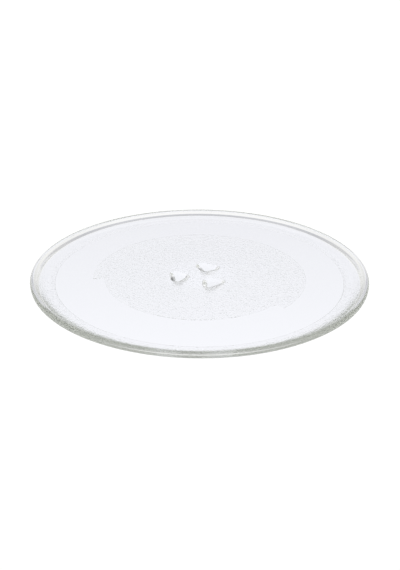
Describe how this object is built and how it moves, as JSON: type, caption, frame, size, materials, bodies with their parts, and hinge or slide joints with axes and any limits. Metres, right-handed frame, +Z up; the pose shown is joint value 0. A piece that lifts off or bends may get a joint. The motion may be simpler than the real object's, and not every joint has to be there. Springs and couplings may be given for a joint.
{
  "type": "microwave turntable plate",
  "caption": "Round clear pressed-glass turntable plate with a flat floor inside a low rounded rim, a smooth roller track and drive lugs underneath; it carries food round in an oven.",
  "frame": {"origin": "on the spin axis, in the plane of the drive lugs' feet", "axes": "+Z up along the spin axis, out of the dish; -X through the middle of one drive lug"},
  "size_m": [0.315, 0.315, 0.0162],
  "materials": {
    "clear_glass": "gloss"
  },
  "bodies": {
    "root": {"glass_plate": "clear_glass"}
  },
  "joints": []
}
